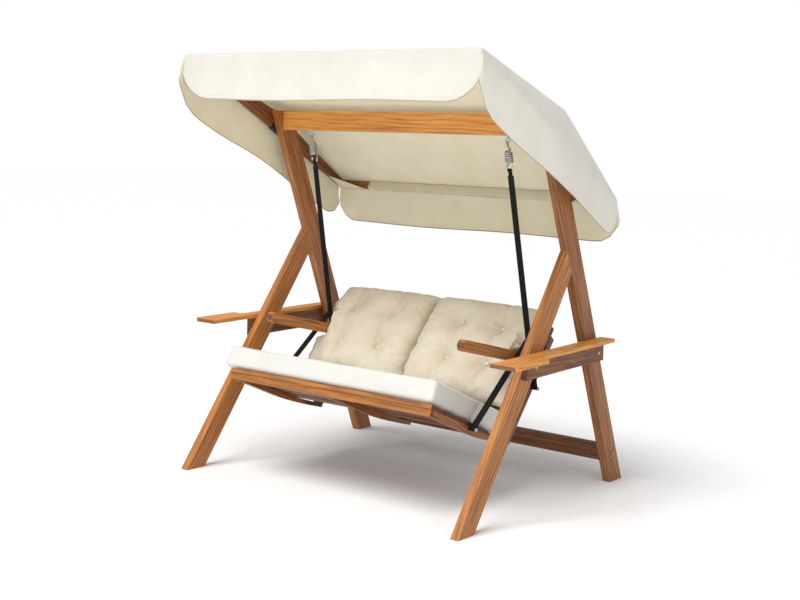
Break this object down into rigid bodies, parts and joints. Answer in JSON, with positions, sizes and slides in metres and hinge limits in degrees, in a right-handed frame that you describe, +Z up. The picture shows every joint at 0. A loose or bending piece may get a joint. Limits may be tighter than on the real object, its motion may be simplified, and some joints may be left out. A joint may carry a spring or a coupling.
{
  "type": "canopy swing bench",
  "caption": "Garden swing bench for two: leaning timber side frames with side tables, a slatted bench on sprung straps and a tilting fabric canopy.",
  "frame": {"origin": "on the floor, midway between the side frames and midway between the front and rear feet", "axes": "+X across the bench to its right-hand side seen from the front, +Y towards the rear, +Z up"},
  "size_m": [2.22, 1.698, 2.343],
  "materials": {
    "pine_light": "oiled",
    "pine_dark": "oiled",
    "bright_steel": "zinc plated",
    "black_steel": "powder coat",
    "webbing": "woven webbing",
    "seat_fabric": "woven canvas",
    "back_fabric": "woven canvas",
    "canopy_fabric": "woven canvas"
  },
  "bodies": {
    "frame": {"front_leg_left": "pine_light", "front_leg_right": "pine_light", "rear_post_left": "pine_dark", "rear_post_right": "pine_dark", "top_beam": "pine_light", "rear_stretcher": "pine_dark", "table_top_left": "pine_light", "table_top_right": "pine_light", "table_apron_left": "pine_dark", "table_apron_right": "pine_dark", "frame_bolts": "bright_steel", "apron_bolts": "bright_steel", "eye_bolts": "bright_steel"},
    "hangers": {"spring_left": "bright_steel", "spring_right": "bright_steel"},
    "bench": {"strap_left": "webbing", "strap_right": "webbing", "front_strand_left": "webbing", "front_strand_right": "webbing", "strap_bolts": "bright_steel", "seat_rail_left": "pine_light", "seat_rail_centre": "pine_light", "seat_rail_right": "pine_light", "seat_fascia": "pine_light", "seat_slat_1": "pine_dark", "seat_slat_2": "pine_dark", "seat_slat_3": "pine_dark", "seat_slat_4": "pine_dark", "back_rail_left": "pine_dark", "back_rail_centre": "pine_dark", "back_rail_right": "pine_dark", "back_slat_1": "pine_dark", "back_slat_2": "pine_dark", "back_slat_3": "pine_dark", "back_slat_4": "pine_dark", "corner_plates": "black_steel", "bench_screws": "bright_steel", "armrest_left": "pine_light", "armrest_right": "pine_light", "arm_bolts": "bright_steel", "seat_cushion": "seat_fabric", "back_cushion_left": "back_fabric", "back_cushion_right": "back_fabric", "cushion_buttons": "back_fabric"},
    "canopy": {"canopy_rail_left": "pine_dark", "canopy_rail_right": "pine_dark", "canopy_front_bar": "pine_light", "canopy_rear_bar": "pine_dark", "canopy_saddles": "black_steel", "canopy_pivot_bolts": "bright_steel", "canopy_screws": "bright_steel", "canopy_roof": "canopy_fabric", "valance_front": "canopy_fabric", "valance_rear": "canopy_fabric", "valance_left": "canopy_fabric", "valance_right": "canopy_fabric"}
  },
  "joints": [
    {"name": "swing", "type": "hinge", "parent": "frame", "child": "hangers", "pos_m": [0, -0.12, 1.905], "axis": [1, 0, 0], "range_deg": [-20, 20]},
    {"name": "spring_bounce", "type": "slide", "parent": "hangers", "child": "bench", "axis": [0, 0, -1], "range_m": [0, 0.03], "stiffness_N_per_m": 50000, "springref_m": -0.012, "deforming": ["spring_left", "spring_right"]},
    {"name": "canopy_tilt", "type": "hinge", "parent": "frame", "child": "canopy", "pos_m": [0, -0.075, 1.985], "axis": [1, 0, 0], "range_deg": [-12, 12]}
  ]
}
